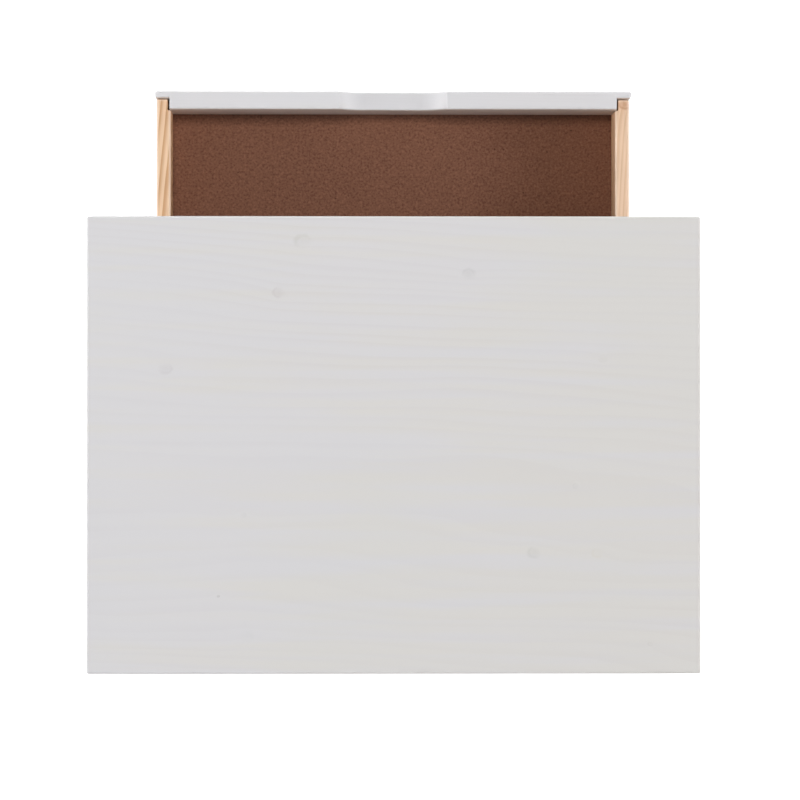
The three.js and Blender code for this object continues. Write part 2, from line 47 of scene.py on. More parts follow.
# The camera looks almost straight down, with the drawer at the top of the picture.
CAMERA_HEIGHT = 4.0  # above the seat
CAMERA_OFFSET = Vector((0.062, 0.005))  # from the seat's middle
CAMERA_AIM = Vector((-0.0059, -0.0438))  # point at the picture's middle, from the seat's middle
CAMERA_LENS = 184.3  # millimetres, like the sensor
CAMERA_SENSOR = 36.0
CAMERA_REACH = 100.0

SHARP_ANGLE = 46  # degrees between two faces that meet in a sharp edge
WELD_DISTANCE = 0.01 * MM
FLAT_FACE_WEIGHT = 80  # how much the large faces lead the shading, from 1 to 100

FLOOR_HALF = 20.0
FLOOR_ROUGHNESS = 0.8
FLOOR_GLOW = 0.82  # seen by the camera only
SKY_SEEN = 1.0
SKY_HORIZON = 0.85  # light from near the floor's edge, all round
SKY_OVERHEAD = 0.2
SKY_FADE = 0.5  # height, as a sine, above which the sky is dim
WHITE = (1.0, 1.0, 1.0, 1.0)

# Degrees, metres and watts. Azimuth 0 is in front of the drawer, and 90 is to its right.
# The lamps make no highlights of their own. The boxes make the highlights, and nothing else.
LAMPS = {
    "key_light": {"azimuth": 8.0, "elevation": 80.0, "distance": 5.4, "size": 0.95, "power": 160.0},
    "fill_light": {"azimuth": 180.0, "elevation": 45.0, "distance": 2.6, "size": 1.0, "power": 7.0},
    "front_light": {"azimuth": 6.0, "elevation": 15.0, "distance": 3.0, "size": 1.2, "power": 26.0},
    "right_light": {"azimuth": 90.0, "elevation": 11.0, "distance": 3.0, "size": 1.2, "power": 32.0},
    "left_light": {"azimuth": -90.0, "elevation": 11.0, "distance": 3.0, "size": 1.2, "power": 28.0},
}
BOXES = {
    "front_box": {"azimuth": 6.0, "elevation": 15.0, "distance": 3.0, "size": 2.0, "power": 17.0},
    "back_box": {"azimuth": 176.0, "elevation": 15.0, "distance": 3.0, "size": 2.0, "power": 9.0},
    "right_box": {"azimuth": 90.0, "elevation": 19.0, "distance": 3.0, "size": 3.0, "power": 36.0},
    "left_box": {"azimuth": -90.0, "elevation": 19.0, "distance": 3.0, "size": 3.0, "power": 36.0},
}

# Colours as they look in plain light, 0 to 255.
STAIN_COOL = (212, 212, 215)
STAIN_WARM = (212, 211, 209)
PINE_EARLY = (237, 207, 176)
PINE_EARLY_WARM = (231, 195, 160)
PINE_LATE = (205, 159, 119)
PINE_PINK = (231, 203, 180)
PINE_EDGE_HIGHLIGHT = (252, 236, 222)
PINE_KNOT = (186, 132, 100)
HARDBOARD_MEAN = (123, 84, 66)
HARDBOARD_DARK = (102, 67, 53)
HARDBOARD_LIGHT = (139, 97, 77)
HARDBOARD_SPOT = (50, 30, 22)
ZINC_BLUE = (188, 194, 200)
ZINC_YELLOW = (205, 201, 188)
ZINC_DULL = (150, 153, 156)
BEECH = (214, 180, 138)
BEECH_FIBRE = (196, 158, 116)
BEECH_FLECK = (176, 132, 92)
NYLON = (230, 228, 220)
NYLON_SCUFFED = (176, 172, 162)
FLOOR = (240, 240, 240)

# Shares of red, green and blue that are left where a surface is warmer or darker. On upright pine
# faces this is painted shade: the warm, dim look of bounce light off the hardboard.
UPRIGHT_WARM_SHADE = (0.97, 0.84, 0.7, 1.0)
HARDBOARD_DIM = (0.74, 0.71, 0.67, 1.0)

AXES = {"x": 0, "y": 1, "z": 2}
# Noise cells to a metre. Patches of clearer grain and the stain's soft streaks run along a board.
PATCHES = {"x": (3.0, 12.0, 12.0), "y": (12.0, 3.0, 12.0), "z": (12.0, 12.0, 3.0)}
STREAKS = {"x": (4.0, 75.0, 75.0), "y": (75.0, 4.0, 75.0), "z": (75.0, 75.0, 4.0)}


def linear(colour):
    """Linear RGBA for an sRGB colour given as 0 to 255."""
    def one(value):
        value /= 255
        return value / 12.92 if value <= 0.04045 else ((value + 0.055) / 1.055) ** 2.4

    return (*(one(value) for value in colour), 1.0)


# ---------------------------------------------------------------- node tree helper


class Tree:
    """A material's node tree, with one short call for each kind of node."""

    def __init__(self, name):
        self.material = bpy.data.materials.new(name)
        self.material.use_nodes = True
        self.nodes = self.material.node_tree.nodes
        self.links = self.material.node_tree.links
        self.nodes.clear()
        output = self.nodes.new("ShaderNodeOutputMaterial")
        self.shader = self.nodes.new("ShaderNodeBsdfPrincipled")
        self.links.new(self.shader.outputs[0], output.inputs[0])
        coordinates = self.nodes.new("ShaderNodeTexCoord")
        # Both are in the piece's own frame, so the look travels with a piece that moves.
        self.place = coordinates.outputs["Object"]
        self.normal = coordinates.outputs["Normal"]

    def put(self, socket, value):
        """Links a socket, or sets its number or colour."""
        if isinstance(value, bpy.types.NodeSocket):
            self.links.new(value, socket)
        elif value is not None:
            socket.default_value = value

    def maths(self, operation, *values, clamp=False):
        node = self.nodes.new("ShaderNodeMath")
        node.operation = operation
        node.use_clamp = clamp
        for socket, value in zip(node.inputs, values):
            self.put(socket, value)
        return node.outputs[0]

    def vector(self, operation, *values):
        node = self.nodes.new("ShaderNodeVectorMath")
        node.operation = operation
        for socket, value in zip(node.inputs, values):
            self.put(socket, value)
        return node.outputs["Value" if operation == "LENGTH" else "Vector"]

    def split(self, vector):
        node = self.nodes.new("ShaderNodeSeparateXYZ")
        self.put(node.inputs[0], vector)
        return list(node.outputs)

    def join(self, x, y, z):
        node = self.nodes.new("ShaderNodeCombineXYZ")
        for socket, value in zip(node.inputs, (x, y, z)):
            self.put(socket, value)
        return node.outputs[0]

    def grey(self, value):
        """The same number for red, green and blue."""
        return self.join(value, value, value)

    def noise(self, vector, scale, detail=2.0, roughness=0.5):
        node = self.nodes.new("ShaderNodeTexNoise")
        self.put(node.inputs["Vector"], vector)
        node.inputs["Scale"].default_value = scale
        node.inputs["Detail"].default_value = detail
        node.inputs["Roughness"].default_value = roughness
        return node.outputs[0]

    def cells(self, vector, scale):
        """Distance to the nearest of many scattered points, in cell sizes."""
        node = self.nodes.new("ShaderNodeTexVoronoi")
        self.put(node.inputs["Vector"], vector)
        node.inputs["Scale"].default_value = scale
        return node.outputs["Distance"]

    def ranged(self, kind, *settings):
        node = self.nodes.new("ShaderNodeMapRange")
        node.interpolation_type = kind
        for socket, setting in zip(node.inputs, settings):
            self.put(socket, setting)
        return node.outputs[0]

    def ease(self, value, low, high, to_low=0.0, to_high=1.0):
        """Smooth step of a value from one range to another."""
        return self.ranged("SMOOTHSTEP", value, low, high, to_low, to_high)

    def scale(self, value, low, high, to_low, to_high):
        """Linear map of a value from one range to another, kept inside the second."""
        return self.ranged("LINEAR", value, low, high, to_low, to_high)

    def mix(self, factor, a, b, blend="MIX"):
        """Mix of two colours, on the sockets that the node keeps for colours."""
        node = self.nodes.new("ShaderNodeMix")
        node.data_type = "RGBA"
        node.blend_type = blend
        self.put(node.inputs[0], factor)
        self.put(node.inputs[6], a)
        self.put(node.inputs[7], b)
        return node.outputs[2]

    def times(self, colour, shares):
        """A colour with its red, green and blue each cut to a share."""
        return self.mix(1.0, colour, shares, "MULTIPLY")

    def bump(self, height, distance, strength=1.0):
        node = self.nodes.new("ShaderNodeBump")
        node.inputs["Strength"].default_value = strength
        node.inputs["Distance"].default_value = distance
        self.put(node.inputs["Height"], height)
        self.put(self.shader.inputs["Normal"], node.outputs[0])

    def finish(self, colour, roughness, **constants):
        """Sets the shader's colour, roughness and other numbers, and returns the material."""
        self.put(self.shader.inputs["Base Color"], colour)
        self.put(self.shader.inputs["Roughness"], roughness)
        for name, value in constants.items():
            self.shader.inputs[name.replace("_", " ")].default_value = value
        return self.material


# ---------------------------------------------------------------- wood

SLOW_BEND = 0.034  # metres that the rings swing aside in long bends of the trunk
FINE_BEND = 0.0016  # metres, in small bends
KNOT_SWELL = 0.004  # metres that a knot pushes the rings aside
KNOT_STRETCH = 1.25  # length of a knot along x to its width along y
FIBRES = (22.0, 900.0, 900.0)  # noise cells to a metre, along the board and across it
STAIN_COVER = 0.965  # share of the wood that the stain hides


class Board:
    """How one board was cut: the way its grain runs, and where the tree's middle was."""

    def __init__(self, node, along, pith, seed, spacing=3.1, tilt=0.006, contrast=1.0,
                 wander=1.0, tint=PINE_EARLY, warm=0.0, fade=0.0, closer=1.0):
        self.node = node
        self.along = along
        self.pith = pith  # from the board's middle, along its two cross axes
        self.seed = seed
        self.spacing = spacing * MM  # between two years' rings
        self.tilt = tilt  # metres that the tree's middle drifts over a metre of board
        self.contrast = contrast  # of the dark rings
        self.wander = wander  # how far the trunk bends from straight
        self.tint = tint  # of the pale wood between the rings
        self.warm = warm  # how much warmer the stain is than usual
        self.fade = fade  # how much warmer the stain gets over a metre towards the low end
        self.closer = closer  # how many times closer the rings are on its upright faces


def edge_distance(t, node):
    """Distance to the board's nearest edge, for a point on its surface."""
    low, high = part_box(node)
    middle, half = (low + high) / 2, (high - low) / 2
    offset = t.vector("ABSOLUTE", t.vector("SUBTRACT", t.place, tuple(middle)))
    x, y, z = t.split(t.vector("SUBTRACT", tuple(half), offset))
    # The nearest face is the one that the point is on, so the second nearest gives the edge.
    smaller = t.maths("MINIMUM", x, y)
    larger = t.maths("MAXIMUM", x, y)
    return t.maths("MAXIMUM", smaller, t.maths("MINIMUM", larger, z))


def upright_face(t, board):
    """1 on a bare board's two long upright faces, 0 on the others.

    They face along y on a board that runs along x, and along x on all the others.
    """
    across = 1 if board.along == "x" else 0
    return t.ease(t.maths("ABSOLUTE", t.split(t.normal)[across]), 0.5, 0.9)


def along_and_across(t, board):
    """A point's place along the board and on its two cross axes, from the board's middle."""
    low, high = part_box(board.node)
    middle = (low + high) / 2
    parts = t.split(t.vector("SUBTRACT", t.place, tuple(middle)))
    length = parts.pop(AXES[board.along])
    return length, *parts


def stretched(t, place, shares):
    """A place whose three parts are multiplied by their own shares."""
    return t.join(*(t.maths("MULTIPLY", part, share) for part, share in zip(place, shares)))


def ring_radius(t, board, place, knot_distances):
    """Distance from the tree's middle, with the trunk's bends, and the slow bends alone."""
    squeezed = stretched(t, place, (0.9, 5.0, 5.0))
    seeded = t.vector("ADD", squeezed, (board.seed * 3.1, board.seed * 1.7, board.seed * 5.3))
    slow = t.maths("SUBTRACT", t.noise(seeded, 1.6, 2.0), 0.5)
    fine = t.maths("SUBTRACT", t.noise(seeded, 14.0, 2.0), 0.5)

    length, u, v = place
    drift = t.maths("MULTIPLY", length, board.tilt)
    across_u = t.maths("ADD", t.maths("SUBTRACT", u, board.pith[0]), drift)
    across_v = t.maths("SUBTRACT", v, board.pith[1])
    radius = t.vector("LENGTH", t.join(across_u, across_v, 0.0))
    radius = t.maths("MULTIPLY_ADD", slow, SLOW_BEND * board.wander, radius)
    radius = t.maths("MULTIPLY_ADD", fine, FINE_BEND, radius)
    for distance in knot_distances:
        # The rings swell round a knot.
        swell = t.maths("EXPONENT", t.maths("MULTIPLY", distance, -0.55))
        radius = t.maths("ADD", radius, t.maths("MULTIPLY", swell, KNOT_SWELL))
    return radius, slow


def latewood(t, board, radius):
    """Share of dark latewood: each ring darkens slowly and ends sharply."""
    years = t.maths("DIVIDE", radius, board.spacing)
    strength = 1.0
    if board.closer > 1.0:
        # The upright faces get closer, fainter rings than the top and bottom.
        upright = upright_face(t, board)
        years = t.maths("MULTIPLY", years, t.ease(upright, 0.0, 1.0, 1.0, board.closer))
        strength = t.ease(upright, 0.0, 1.0, 1.0, 0.5)
    uneven = t.noise(t.join(years, board.seed, 0.0), 0.8, 1.0)
    share = t.maths("FRACT", t.maths("MULTIPLY_ADD", uneven, 1.2, years))
    late = t.maths("MULTIPLY", t.ease(share, 0.35, 0.9), t.ease(share, 0.93, 1.0, 1.0, 0.0))
    return t.maths("MULTIPLY", late, strength)


def grain(t, board, knot_distances):
    """Latewood share, fibre noise and slow bends of a board's grain at each point."""
    place = along_and_across(t, board)
    radius, slow = ring_radius(t, board, place, knot_distances)
    fibre = t.noise(stretched(t, place, FIBRES), 1.0, 3.0, 0.6)
    return latewood(t, board, radius), fibre, slow


def bare_wood_colour(t, board, late, fibre, slow):
    """Pale earlywood, warmer latewood lines and fine fibres."""
    warmth = t.scale(slow, -0.3, 0.3, 0.0, 1.0)
    early = t.mix(warmth, linear(board.tint), linear(PINE_EARLY_WARM))
    ringed = t.mix(t.maths("MULTIPLY", late, 0.85 * board.contrast), early, linear(PINE_LATE))
    return t.times(ringed, t.grey(t.scale(fibre, 0.3, 0.7, 0.93, 1.05)))


def raw_pine(board, knots=()):
    """Bare pine, a little darker in patches, and paler along its edges in a painted highlight."""
    t = Tree("raw_pine_" + board.node)
    distances = [knot_distance(t, knot) for knot in knots]
    late, fibre, slow = grain(t, board, distances)
    colour = bare_wood_colour(t, board, late, fibre, slow)
    for knot, distance in zip(knots, distances):
        colour = knot_mark(t, colour, knot, distance)
    # Painted shade: the upright faces are warmer and darker than the top and bottom, as if lit by
    # warm bounce light off the hardboard.
    upright = t.maths("MULTIPLY", upright_face(t, board), 0.8)
    colour = t.mix(upright, colour, t.times(colour, UPRIGHT_WARM_SHADE))
    patch = t.ease(t.noise(t.place, 18.0, 3.0), 0.35, 0.75, 1.0, 0.94)
    colour = t.times(colour, t.grey(patch))
    # Painted highlight: the wood turns paler within a few millimetres of its edges, where the rounded
    # edges catch the light.
    edge_highlight = t.ease(edge_distance(t, board.node), 0.4 * MM, 3.0 * MM, 1.0, 0.0)
    colour = t.mix(t.maths("MULTIPLY", edge_highlight, 0.45), colour, linear(PINE_EDGE_HIGHLIGHT))
    roughness = t.scale(late, 0.0, 1.0, 0.7, 0.58)
    height = t.maths("MULTIPLY_ADD", fibre, 0.6, t.maths("MULTIPLY", late, 0.5))
    t.bump(height, 0.12 * MM, 0.8)
    return t.finish(colour, roughness, Specular_IOR_Level=0.3)


def stain_coat(t, board, cover, ring, fibre, cloud):
    """Share of the wood that the stain hides: less over latewood, fibres and rubbed edges."""
    coat = t.scale(cloud, 0.3, 0.7, cover - 0.012, cover + 0.015)
    coat = t.maths("MULTIPLY_ADD", ring, -0.01, coat)
    coat = t.maths("MULTIPLY_ADD", t.maths("SUBTRACT", fibre, 0.5), 0.016, coat)
    rub = t.ease(edge_distance(t, board.node), 0.3 * MM, 1.6 * MM, 1.0, 0.0)
    rub = t.maths("MULTIPLY", rub, t.ease(t.noise(t.place, 45.0, 3.0), 0.5, 0.75))
    return t.maths("SUBTRACT", coat, t.maths("MULTIPLY", rub, 0.08), clamp=True)


def stain_colour(t, board, streaks, cloud):
    """The stain lies in soft streaks, some cooler and some warmer."""
    length = t.split(t.place)[AXES[board.along]]
    warmth = t.maths("MULTIPLY_ADD", cloud, 0.6, t.maths("ADD", streaks, board.warm))
    warmth = t.maths("MULTIPLY_ADD", length, -board.fade, warmth)
    return t.mix(t.ease(warmth, 0.6, 1.0), linear(STAIN_COOL), linear(STAIN_WARM))


def white_pine(board, knots=(), cover=STAIN_COVER, thin_back_and_bounce=False):
    """Pine under a white stain, which may be thinner on the board's +Y face, partly as real thin
    stain and partly as painted warm bounce light.
    """
    t = Tree("white_pine_" + board.node)
    distances = [knot_distance(t, knot) for knot in knots]
    late, fibre, slow = grain(t, board, distances)
    wood = bare_wood_colour(t, board, late, fibre, slow)

    seeded = t.vector("ADD", t.place, (board.seed, 0.0, 0.0))
    cloud = t.noise(seeded, 5.0, 3.0)
    # The rings show through in some stretches of the board and hardly at all in others.
    patches = t.noise(t.vector("MULTIPLY", seeded, PATCHES[board.along]), 1.0, 2.0)
    ring = t.maths("MULTIPLY", late, t.ease(patches, 0.44, 0.7, 0.08, board.contrast))
    coat = stain_coat(t, board, cover, ring, fibre, cloud)
    # A thinner coat warms the +Y face: partly thin stain on the back, partly painted warm bounce
    # light off the hardboard.
    if thin_back_and_bounce:
        behind = t.ease(t.split(t.normal)[1], 0.6, 0.9)
        coat = t.maths("MULTIPLY_ADD", behind, -0.3, coat, clamp=True)

    streaks = t.noise(t.vector("MULTIPLY", seeded, STREAKS[board.along]), 1.0, 2.5)
    colour = t.mix(coat, wood, stain_colour(t, board, streaks, cloud))
    shade = t.maths("MULTIPLY_ADD", ring, -0.01, t.scale(streaks, 0.3, 0.7, 0.992, 1.008))
    colour = t.times(colour, t.grey(shade))
    for knot, distance in zip(knots, distances):
        colour = knot_mark(t, colour, knot, distance)

    height = t.maths("MULTIPLY_ADD", fibre, 0.4, t.maths("MULTIPLY", ring, 0.4))
    t.bump(height, 0.015 * MM, 0.6)
    return t.finish(colour, t.scale(fibre, 0.3, 0.7, 0.37, 0.45))


# ---------------------------------------------------------------- knots


def from_knot(t, knot):
    """Steps in x and y from a knot's middle."""
    x, y, _ = t.split(t.vector("SUBTRACT", t.place, (*knot["centre"], 0.0)))
    return x, y


def knot_distance(t, knot):
    """Distance from a knot's middle in knot radii, a little ragged."""
    ragged = t.maths("SUBTRACT", t.noise(t.place, 160.0, 2.0), 0.5)
    x, y = from_knot(t, knot)
    flat = t.join(t.maths("DIVIDE", x, KNOT_STRETCH), y, 0.0)
    distance = t.maths("DIVIDE", t.vector("LENGTH", flat), knot["radius"])
    return t.maths("MULTIPLY_ADD", ragged, 0.5, distance)


def knot_mark(t, colour, knot, distance):
    """A knot ghosting through: a soft core inside a darker ring that is broken on one side."""
    x, y = from_knot(t, knot)
    turned = t.maths("SUBTRACT", t.maths("ARCTAN2", y, x), math.radians(knot["side"]))
    dark_side = t.ease(t.maths("COSINE", turned), -0.6, 0.7)
    ring = t.maths("MULTIPLY", t.ease(distance, 0.45, 0.75), t.ease(distance, 0.8, 1.2, 1.0, 0.0))
    ring = t.maths("MULTIPLY", ring, dark_side)
    core = t.ease(distance, 0.1, 1.15, 1.0, 0.0)
    mark = t.maths("MULTIPLY_ADD", core, knot["core"], t.maths("MULTIPLY", ring, 0.9))
    mark = t.maths("MULTIPLY", mark, knot["strength"], clamp=True)
    return t.mix(mark, colour, linear(knot["colour"]))


# ---------------------------------------------------------------- other materials

SCREEN_PITCH = 1.4 * MM  # of the screen pressed into the hardboard's underside


def hardboard():
    """Pressed brown fibreboard: smooth and mottled above, with a screen's print below."""
    t = Tree("hardboard")
    low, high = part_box("drawer_bottom")
    cloud = t.noise(t.place, 9.0, 3.0)
    mottle = t.noise(t.place, 430.0, 4.0, 0.6)
    fleck = t.noise(t.vector("ADD", t.place, (3.0, 1.0, 0.0)), 900.0, 2.0)
    shade = t.maths("MULTIPLY_ADD", mottle, 0.8, t.maths("MULTIPLY", fleck, 0.2))
    shade = t.maths("MULTIPLY_ADD", t.maths("SUBTRACT", cloud, 0.5), 0.12, shade)
    colour = t.mix(t.ease(shade, 0.36, 0.5), linear(HARDBOARD_DARK), linear(HARDBOARD_MEAN))
    colour = t.mix(t.ease(shade, 0.5, 0.66), colour, linear(HARDBOARD_LIGHT))
    spots = t.ease(t.cells(t.place, 85.0), 0.03, 0.09, 1.0, 0.0)
    colour = t.mix(t.maths("MULTIPLY", spots, 0.7), colour, linear(HARDBOARD_SPOT))
    # The left end of the sheet is darker, past a wavering edge.
    x, y, _ = t.split(t.place)
    wavering = t.maths("MULTIPLY_ADD", cloud, 0.05, x)
    share = t.scale(wavering, low.x, high.x, 0.0, 1.0)
    dim = t.ease(share, 0.2, 0.38, 1.0, 0.0)
    colour = t.mix(dim, colour, t.times(colour, HARDBOARD_DIM))
    below = t.ease(t.split(t.normal)[2], -0.9, -0.5, 1.0, 0.0)
    turns = 2 * math.pi / SCREEN_PITCH
    wave_x, wave_y = (t.maths("SINE", t.maths("MULTIPLY", part, turns)) for part in (x, y))
    screen = t.maths("MULTIPLY", t.maths("MULTIPLY", wave_x, wave_y), below)
    t.bump(t.maths("MULTIPLY_ADD", screen, 0.8, shade), 0.15 * MM, 0.6)
    roughness = t.scale(shade, 0.35, 0.65, 0.72, 0.6)
    return t.finish(colour, roughness, Specular_IOR_Level=0.22)


def zinc_steel():
    """Bright zinc plating with a faint blue and yellow cast and a dull, fine crystal grain."""
    t = Tree("zinc_steel")
    cast = t.noise(t.place, 120.0, 2.0)
    crystals = t.noise(t.place, 2500.0, 2.0)
    colour = t.mix(t.ease(cast, 0.35, 0.65), linear(ZINC_BLUE), linear(ZINC_YELLOW))
    colour = t.mix(t.ease(crystals, 0.3, 0.8, 0.0, 0.35), colour, linear(ZINC_DULL))
    t.bump(crystals, 0.03 * MM, 0.5)
    return t.finish(colour, t.scale(crystals, 0.3, 0.7, 0.26, 0.44), Metallic=1.0)


def beech():
    """Turned dowel: pale, with the short dark flecks that beech has."""
    t = Tree("beech")
    flecks = t.ease(t.cells(t.vector("MULTIPLY", t.place, (180.0, 900.0, 900.0)), 1.0), 0.1, 0.3)
    fine = t.noise(t.vector("MULTIPLY", t.place, (40.0, 900.0, 900.0)), 1.0, 3.0)
    colour = t.mix(flecks, linear(BEECH_FLECK), linear(BEECH))
    colour = t.mix(t.ease(fine, 0.3, 0.7, 0.0, 0.3), colour, linear(BEECH_FIBRE))
    t.bump(fine, 0.1 * MM, 0.6)
    return t.finish(colour, t.scale(fine, 0.3, 0.7, 0.68, 0.55))


def nylon():
    """Moulded foot glide, scuffed where it slides."""
    t = Tree("nylon")
    mould = t.noise(t.place, 1400.0, 3.0)
    scuff = t.noise(t.vector("MULTIPLY", t.place, (900.0, 120.0, 300.0)), 1.0, 3.0)
    height = t.split(t.place)[2]
    worn = t.maths("MULTIPLY", t.ease(height, 0.0, 1.5 * MM, 1.0, 0.0), t.ease(scuff, 0.45, 0.7))
    colour = t.mix(t.maths("MULTIPLY", worn, 0.5), linear(NYLON), linear(NYLON_SCUFFED))
    t.bump(t.maths("MULTIPLY_ADD", worn, -0.6, mould), 0.06 * MM, 0.6)
    return t.finish(colour, t.scale(scuff, 0.3, 0.7, 0.4, 0.55))


# ---------------------------------------------------------------- dressing the CAD nodes


def even_shading():
    """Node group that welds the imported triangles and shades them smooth, except at sharp edges."""
    group = bpy.data.node_groups.new("even_shading", "GeometryNodeTree")
    group.interface.new_socket("Geometry", in_out="INPUT", socket_type="NodeSocketGeometry")
    group.interface.new_socket("Geometry", in_out="OUTPUT", socket_type="NodeSocketGeometry")
    nodes, links = group.nodes, group.links
    start, end = nodes.new("NodeGroupInput"), nodes.new("NodeGroupOutput")
    forget = nodes.new("GeometryNodeRemoveAttribute")
    forget.inputs["Name"].default_value = "custom_normal"
    weld = nodes.new("GeometryNodeMergeByDistance")
    weld.inputs["Distance"].default_value = WELD_DISTANCE
    faces = nodes.new("GeometryNodeSetShadeSmooth")
    faces.domain = "FACE"
    edges = nodes.new("GeometryNodeSetShadeSmooth")
    edges.domain = "EDGE"
    angle = nodes.new("GeometryNodeInputMeshEdgeAngle")
    smooth = nodes.new("FunctionNodeCompare")
    smooth.operation = "LESS_THAN"
    smooth.inputs[1].default_value = math.radians(SHARP_ANGLE)
    links.new(start.outputs[0], forget.inputs["Geometry"])
    links.new(forget.outputs[0], weld.inputs["Geometry"])
    links.new(weld.outputs[0], faces.inputs["Geometry"])
    links.new(faces.outputs[0], edges.inputs["Geometry"])
    links.new(angle.outputs["Unsigned Angle"], smooth.inputs[0])
    links.new(smooth.outputs[0], edges.inputs["Shade Smooth"])
    links.new(edges.outputs[0], end.inputs[0])
    return group


def dress(node, material, group):
    """Gives a CAD node its material and smooth shading, without touching its mesh."""
    piece = NODES[node]
    for slot in piece.material_slots:
        slot.link = "OBJECT"
        slot.material = material
    shading = piece.modifiers.new("even_shading", "NODES")
    shading.node_group = group
    weighted = piece.modifiers.new("flat_faces", "WEIGHTED_NORMAL")
    weighted.keep_sharp = True
    weighted.weight = FLAT_FACE_WEIGHT


def named(prefix):
    return sorted(node for node in NODES if node.startswith(prefix))


# ---------------------------------------------------------------- the bench's boards

# Knots of the seat: places as shares of its width, from the right, and of its depth, from the
# front; radii in millimetres; how strongly the stain lets each one through; which side of its
# ring is dark, in degrees; and how dark its core is against the ring.
SEAT_KNOTS = [
    {"at": (0.352, 0.056), "radius": 7.5, "strength": 0.14, "colour": (150, 150, 128),
     "side": -60, "core": 0.3},
    {"at": (0.622, 0.127), "radius": 6.0, "strength": 0.12, "colour": (142, 142, 140),
     "side": -90, "core": 0.8},
    {"at": (0.313, 0.167), "radius": 5.5, "strength": 0.12, "colour": (156, 138, 144),
     "side": 20, "core": 0.9},
    {"at": (0.128, 0.333), "radius": 6.0, "strength": 0.11, "colour": (154, 142, 146),
     "side": 120, "core": 0.8},
    {"at": (0.729, 0.735), "radius": 6.0, "strength": 0.11, "colour": (144, 146, 142),
     "side": 30, "core": 0.8},
    {"at": (0.832, 0.736), "radius": 5.0, "strength": 0.07, "colour": (190, 174, 120),
     "side": 45, "core": 0.5},
    {"at": (0.797, 0.590), "radius": 3.0, "strength": 0.08, "colour": (140, 140, 138),
     "side": 0, "core": 0.7},
    {"at": (0.840, 0.313), "radius": 3.5, "strength": 0.06, "colour": (166, 160, 130),
     "side": 90, "core": 0.6},
    {"at": (0.255, 0.653), "radius": 2.5, "strength": 0.07, "colour": (146, 146, 144),
     "side": 180, "core": 0.6},
    {"at": (0.214, 0.830), "radius": 1.6, "strength": 0.19, "colour": (110, 104, 100),
     "side": 120, "core": 1.0},
    {"at": (0.260, 0.920), "radius": 6.0, "strength": 0.03, "colour": (150, 166, 152),
     "side": 200, "core": 0.9},
    {"at": (0.918, 0.935), "radius": 2.4, "strength": 0.09, "colour": (150, 142, 132),
     "side": 60, "core": 0.6},
]


def side_knots(node):
    """A reddish knot at the front end of the left drawer side, and none on other boards."""
    if node != "drawer_side_left":
        return ()
    low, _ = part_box(node)
    centre = (low.x + 4 * MM, low.y + 4.5 * MM)
    return ({"centre": centre, "radius": 5.5 * MM, "strength": 0.5, "colour": PINE_KNOT,
             "side": 90, "core": 0.9},)


def seat_knots():
    """The seat's knots with their places and radii in metres."""
    low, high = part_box("seat_top")
    size = high - low
    return [
        {
            **knot,
            "centre": (high.x - knot["at"][0] * size.x, low.y + knot["at"][1] * size.y),
            "radius": knot["radius"] * MM,
        }
        for knot in SEAT_KNOTS
    ]


WHITE_BOARDS = [
    Board("leg_front_left", "z", (0.035, 0.03), 1.0),
    Board("leg_front_right", "z", (-0.04, 0.035), 2.0),
    Board("leg_back_left", "z", (0.03, -0.045), 3.0),
    Board("leg_back_right", "z", (-0.045, -0.02), 4.0),
    Board("front_rail_upper", "x", (0.02, -0.05), 5.0),
    Board("front_rail_lower", "x", (-0.01, 0.055), 6.0),
    Board("apron_left", "y", (-0.05, 0.01), 7.0),
    Board("apron_right", "y", (0.06, -0.012), 8.0),
    Board("apron_back", "x", (-0.055, 0.015), 9.0),
    Board("drawer_front", "x", (0.06, 0.008), 10.0, warm=-0.35),
]
RAW_BOARDS = [
    Board("drawer_side_left", "y", (-0.09, 0.01), 11.0, spacing=4.2, tilt=-0.04, contrast=0.45,
          wander=0.6, tint=PINE_PINK, closer=1.7),
    Board("drawer_side_right", "y", (-0.12, 0.02), 12.0, spacing=6.2, tilt=-0.075, contrast=1.2,
          wander=0.8, closer=2.4),
    Board("drawer_back", "x", (0.05, 0.004), 13.0, spacing=4.0),
    Board("drawer_runner_left", "y", (0.01, 0.05), 14.0),
    Board("drawer_runner_right", "y", (0.0, -0.05), 15.0),
    Board("side_guide_left", "y", (0.03, 0.03), 16.0),
    Board("side_guide_right", "y", (-0.03, 0.03), 17.0),
    Board("drawer_kicker_left", "y", (0.02, -0.06), 18.0),
    Board("drawer_kicker_right", "y", (-0.01, 0.06), 19.0),
    Board("stop_button", "z", (0.01, 0.04), 20.0, spacing=1.8),
]
SEAT_BOARD = Board("seat_top", "x", (0.06, -0.13), 21.0, spacing=8.0, tilt=0.05, wander=1.8, fade=0.6)
SEAT_COVER = 0.96


def dress_all():
    """Dresses every CAD node, and returns the fasteners' steel for the nails."""
    group = even_shading()
    dress("seat_top", white_pine(SEAT_BOARD, seat_knots(), SEAT_COVER), group)
    for board in WHITE_BOARDS:
        dress(board.node, white_pine(board, thin_back_and_bounce=board.node == "drawer_front"), group)
    for board in RAW_BOARDS:
        dress(board.node, raw_pine(board, side_knots(board.node)), group)
    dress("drawer_bottom", hardboard(), group)
    steel = zinc_steel()
    for prefix in ("bolt_", "barrel_nut_", "top_bracket_", "bracket_screw_", "stop_screw"):
        for node in named(prefix):
            dress(node, steel, group)
    pegs, glides = beech(), nylon()
    for node in named("dowel_"):
        dress(node, pegs, group)
    for node in named("foot_glide_"):
        dress(node, glides, group)
    return steel


# ---------------------------------------------------------------- nails

NAIL_RADIUS = 1.6 * MM
NAIL_SIDES = 20
# Outline of a head, from inside the wood to its crown: share of its radius, and height.
NAIL_PROFILE = [
    (0.55, -0.6 * MM),
    (1.0, -0.05 * MM),
    (1.0, 0.1 * MM),
    (0.82, 0.22 * MM),
    (0.4, 0.3 * MM),
]
